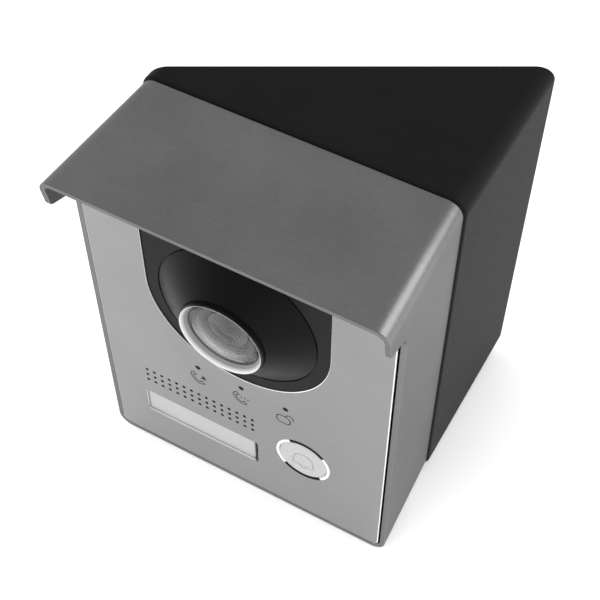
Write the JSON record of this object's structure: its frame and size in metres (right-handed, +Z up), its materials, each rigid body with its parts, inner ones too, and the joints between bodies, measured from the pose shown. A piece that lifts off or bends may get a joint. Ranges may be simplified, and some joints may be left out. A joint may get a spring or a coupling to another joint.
{
  "type": "video doorbell",
  "caption": "Outdoor video call station with a camera, a speaker, a lit name plate and a call button, in a steel rain hood on an angled wall bracket.",
  "frame": {"origin": "middle of the bracket's wall face, on the wall", "axes": "+Y into the wall, +Z up, +X to the right seen from in front"},
  "size_m": [0.1445, 0.0951, 0.1395],
  "materials": {
    "hood_steel": "fine brushed, satin",
    "plate_steel": "fine brushed, satin",
    "wedge_black": "matt black moulded plastic",
    "zinc_steel": "plain zinc plated",
    "stainless_screw": "plain stainless",
    "case_black": "moulded, fine texture",
    "fascia_black": "satin black",
    "seal_rubber": "soft black",
    "silicone": "translucent grey silicone",
    "lens_glass": "polished",
    "lens_coated": "coated optical glass",
    "lens_black": "fine matt",
    "clear_plastic": "clear polycarbonate",
    "diffuse_plastic": "milky white",
    "smoke_plastic": "smoked",
    "card_paper": "smooth card film",
    "ring_chrome": "polished",
    "ring_black": "gloss black",
    "ring_lit": "milky translucent",
    "button_face": "satin light grey",
    "board_green": "solder mask",
    "chip_black": "moulded epoxy",
    "led_white": "clear resin",
    "can_aluminium": "satin",
    "shield_tin": "tin plated",
    "ferrite": "sintered",
    "relay_blue": "moulded",
    "terminal_green": "moulded",
    "film_orange": "polyimide film",
    "mesh_fabric": "fine acoustic cloth",
    "cone_paper": "coated paper",
    "brass": "plain"
  },
  "bodies": {
    "station": {"board_leds": "led_white", "board_screws": "stainless_screw", "button_bezel": "ring_black", "button_light_arcs": "ring_lit", "button_membrane": "silicone", "cable_grommet": "seal_rubber", "camera_board": "board_green", "camera_fascia": "fascia_black", "camera_ribbon": "film_orange", "camera_screws": "stainless_screw", "capacitors": "can_aluminium", "front_frame": "case_black", "front_panel": "plate_steel", "housing_gasket": "seal_rubber", "housing_screws": "stainless_screw", "image_sensor": "chip_black", "lens_barrel": "lens_black", "lens_front_element": "lens_coated", "lens_holder": "lens_black", "lens_rear_element": "lens_coated", "lens_ring": "ring_chrome", "lens_seal": "seal_rubber", "lens_window": "lens_glass", "lock_relay": "relay_blue", "main_board": "board_green", "microphone": "can_aluminium", "microphone_boot": "seal_rubber", "mounting_plate": "zinc_steel", "mounting_screws": "stainless_screw", "nameplate_card": "card_paper", "nameplate_light_guide": "diffuse_plastic", "nameplate_window": "clear_plastic", "power_inductor": "ferrite", "processor": "chip_black", "processor_shield": "shield_tin", "rain_hood": "hood_steel", "rear_housing": "case_black", "security_insert": "brass", "security_screw": "stainless_screw", "speaker_diaphragm": "cone_paper", "speaker_frame": "case_black", "speaker_gasket": "seal_rubber", "speaker_magnet": "shield_tin", "speaker_mesh": "mesh_fabric", "status_light_pipes": "smoke_plastic", "tact_switch": "chip_black", "tamper_switch": "chip_black", "terminal_block": "terminal_green", "terminal_screws": "brass", "wedge_bracket": "wedge_black"},
    "call_button": {"call_button": "button_face"},
    "tact_stem": {"tact_stem": "case_black"},
    "tamper_plunger": {"tamper_plunger": "diffuse_plastic"}
  },
  "joints": [
    {"name": "call_button_press", "type": "slide", "parent": "station", "child": "call_button", "axis": [0.4909, 0.8712, 0], "range_m": [0, 0.0006], "stiffness_N_per_m": 3000, "deforming": ["button_membrane"]},
    {"name": "tact_stem_press", "type": "slide", "parent": "station", "child": "tact_stem", "axis": [0.4909, 0.8712, 0], "range_m": [0, 0.0006]},
    {"name": "tamper_plunger_press", "type": "slide", "parent": "station", "child": "tamper_plunger", "axis": [-0.4909, -0.8712, 0], "range_m": [0, 0.0005], "stiffness_N_per_m": 500}
  ],
  "couplings": [
    {"joint": "tact_stem_press", "follows": "call_button_press", "ratio": 1}
  ]
}
